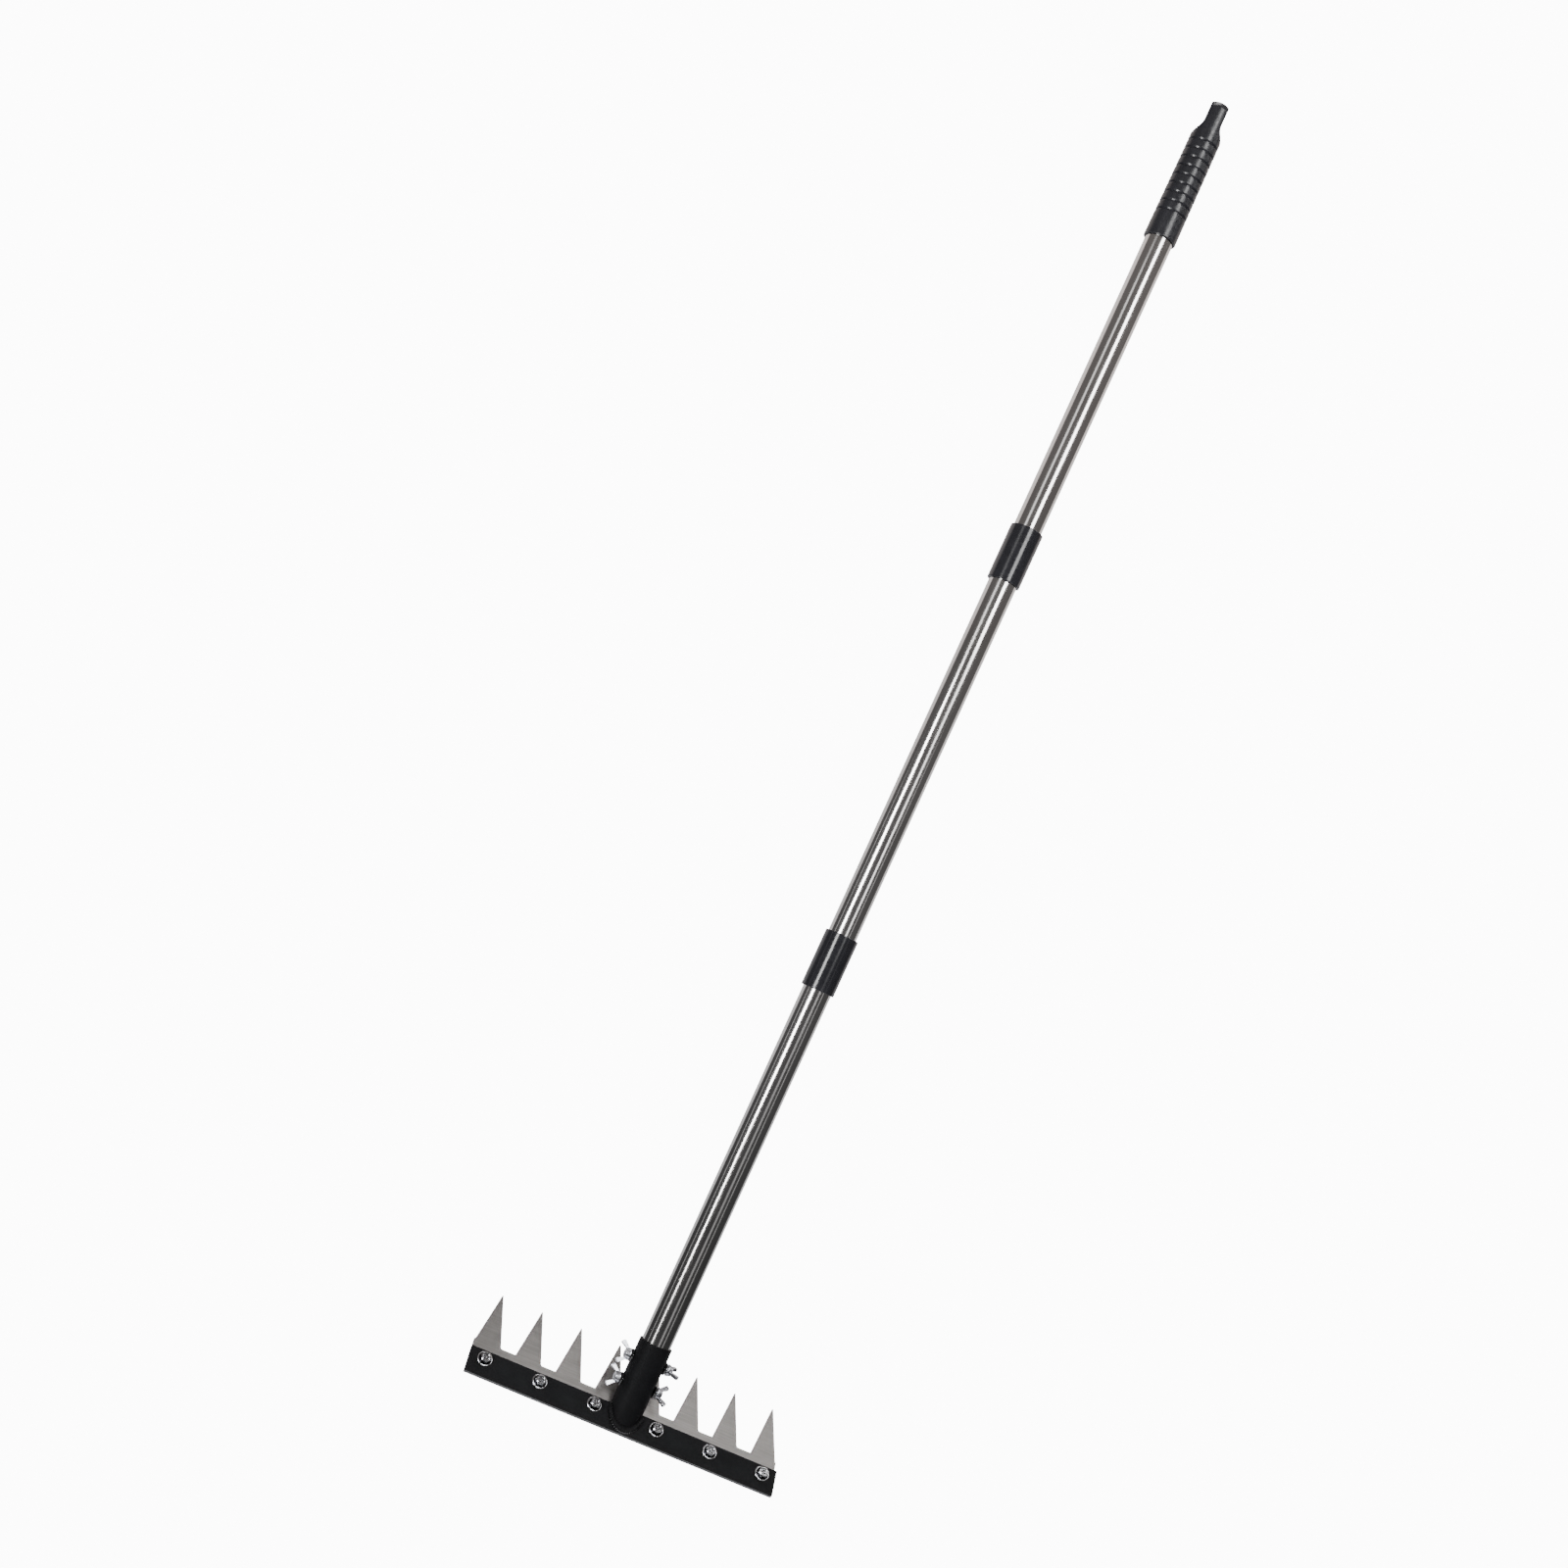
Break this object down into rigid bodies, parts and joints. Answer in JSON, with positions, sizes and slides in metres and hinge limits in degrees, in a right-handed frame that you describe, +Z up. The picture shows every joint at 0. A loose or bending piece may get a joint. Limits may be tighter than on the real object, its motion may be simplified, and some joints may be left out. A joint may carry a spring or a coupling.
{
  "type": "dethatching rake",
  "caption": "Long-handled rake: a flat toothed steel blade bolted to a bar, on a screwed tubular pole with a ribbed grip and a hanging hole.",
  "frame": {"origin": "centre of the hanging hole through the grip's tab, on the pole's axis", "axes": "+Z up the pole towards the grip, +X along the blade, +Y the way the teeth point"},
  "size_m": [0.28, 0.0558, 1.2516],
  "materials": {
    "grip_plastic": "moulded black polypropylene, satin",
    "collar_plastic": "moulded black ABS, semi-gloss",
    "plug_plastic": "moulded black nylon",
    "polished_stainless": "polished stainless steel tube",
    "brushed_stainless": "brushed stainless steel sheet",
    "black_coated_steel": "black powder coat, satin",
    "zinc_plate": "bright zinc plate"
  },
  "bodies": {
    "upper_section": {"hanging_grip": "grip_plastic", "upper_tube": "polished_stainless", "upper_collar": "collar_plastic"},
    "middle_travel": {"middle_tube": "polished_stainless"},
    "middle_section": {"upper_thread_plug": "plug_plastic", "lower_collar": "collar_plastic"},
    "lower_travel": {"lower_tube": "polished_stainless"},
    "lower_section": {"lower_thread_plug": "plug_plastic"},
    "head": {"head_bar": "black_coated_steel", "blade": "brushed_stainless", "socket": "black_coated_steel", "socket_weld": "black_coated_steel", "socket_nut_upper_left": "black_coated_steel", "socket_nut_upper_right": "black_coated_steel", "socket_nut_lower_left": "black_coated_steel", "socket_nut_lower_right": "black_coated_steel", "blade_bolt_1": "zinc_plate", "blade_bolt_2": "zinc_plate", "blade_bolt_3": "zinc_plate", "blade_bolt_4": "zinc_plate", "blade_bolt_5": "zinc_plate", "blade_bolt_6": "zinc_plate", "blade_nut_1": "zinc_plate", "blade_nut_2": "zinc_plate", "blade_nut_3": "zinc_plate", "blade_nut_4": "zinc_plate", "blade_nut_5": "zinc_plate", "blade_nut_6": "zinc_plate"},
    "stud_upper_left": {"wing_stud_upper_left": "zinc_plate"},
    "wing_upper_left": {"wing_head_upper_left": "zinc_plate"},
    "stud_upper_right": {"wing_stud_upper_right": "zinc_plate"},
    "wing_upper_right": {"wing_head_upper_right": "zinc_plate"},
    "stud_lower_left": {"wing_stud_lower_left": "zinc_plate"},
    "wing_lower_left": {"wing_head_lower_left": "zinc_plate"},
    "stud_lower_right": {"wing_stud_lower_right": "zinc_plate"},
    "wing_lower_right": {"wing_head_lower_right": "zinc_plate"}
  },
  "joints": [
    {"name": "upper_joint_travel", "type": "slide", "parent": "upper_section", "child": "middle_travel", "axis": [0, 0, -1], "range_m": [0, 0.0175]},
    {"name": "upper_joint_turn", "type": "hinge", "parent": "middle_travel", "child": "middle_section", "pos_m": [0, 0, -0.4539], "axis": [0, 0, -1], "range_deg": [0, 1270]},
    {"name": "lower_joint_travel", "type": "slide", "parent": "middle_section", "child": "lower_travel", "axis": [0, 0, -1], "range_m": [0, 0.0175]},
    {"name": "lower_joint_turn", "type": "hinge", "parent": "lower_travel", "child": "lower_section", "pos_m": [0, 0, -0.8369], "axis": [0, 0, -1], "range_deg": [0, 1270]},
    {"name": "head_slide", "type": "slide", "parent": "lower_section", "child": "head", "axis": [0, 0, -1], "range_m": [0, 0.038]},
    {"name": "screw_travel_upper_left", "type": "slide", "parent": "head", "child": "stud_upper_left", "axis": [-1, 0, 0], "range_m": [0, 0.003]},
    {"name": "screw_turn_upper_left", "type": "hinge", "parent": "stud_upper_left", "child": "wing_upper_left", "pos_m": [-0.0166, 0, -1.182], "axis": [-1, 0, 0], "range_deg": [0, 1090]},
    {"name": "screw_travel_upper_right", "type": "slide", "parent": "head", "child": "stud_upper_right", "axis": [1, 0, 0], "range_m": [0, 0.003]},
    {"name": "screw_turn_upper_right", "type": "hinge", "parent": "stud_upper_right", "child": "wing_upper_right", "pos_m": [0.0174, 0, -1.182], "axis": [1, 0, 0], "range_deg": [0, 1090]},
    {"name": "screw_travel_lower_left", "type": "slide", "parent": "head", "child": "stud_lower_left", "axis": [-1, 0, 0], "range_m": [0, 0.003]},
    {"name": "screw_turn_lower_left", "type": "hinge", "parent": "stud_lower_left", "child": "wing_lower_left", "pos_m": [-0.0166, 0, -1.2025], "axis": [-1, 0, 0], "range_deg": [0, 1090]},
    {"name": "screw_travel_lower_right", "type": "slide", "parent": "head", "child": "stud_lower_right", "axis": [1, 0, 0], "range_m": [0, 0.003]},
    {"name": "screw_turn_lower_right", "type": "hinge", "parent": "stud_lower_right", "child": "wing_lower_right", "pos_m": [0.0174, 0, -1.2025], "axis": [1, 0, 0], "range_deg": [0, 1090]}
  ],
  "couplings": [
    {"joint": "upper_joint_turn", "follows": "upper_joint_travel", "rad_per_m": 1256.6},
    {"joint": "lower_joint_turn", "follows": "lower_joint_travel", "rad_per_m": 1256.6},
    {"joint": "screw_turn_upper_left", "follows": "screw_travel_upper_left", "rad_per_m": 6283.2},
    {"joint": "screw_turn_upper_right", "follows": "screw_travel_upper_right", "rad_per_m": 6283.2},
    {"joint": "screw_turn_lower_left", "follows": "screw_travel_lower_left", "rad_per_m": 6283.2},
    {"joint": "screw_turn_lower_right", "follows": "screw_travel_lower_right", "rad_per_m": 6283.2}
  ]
}
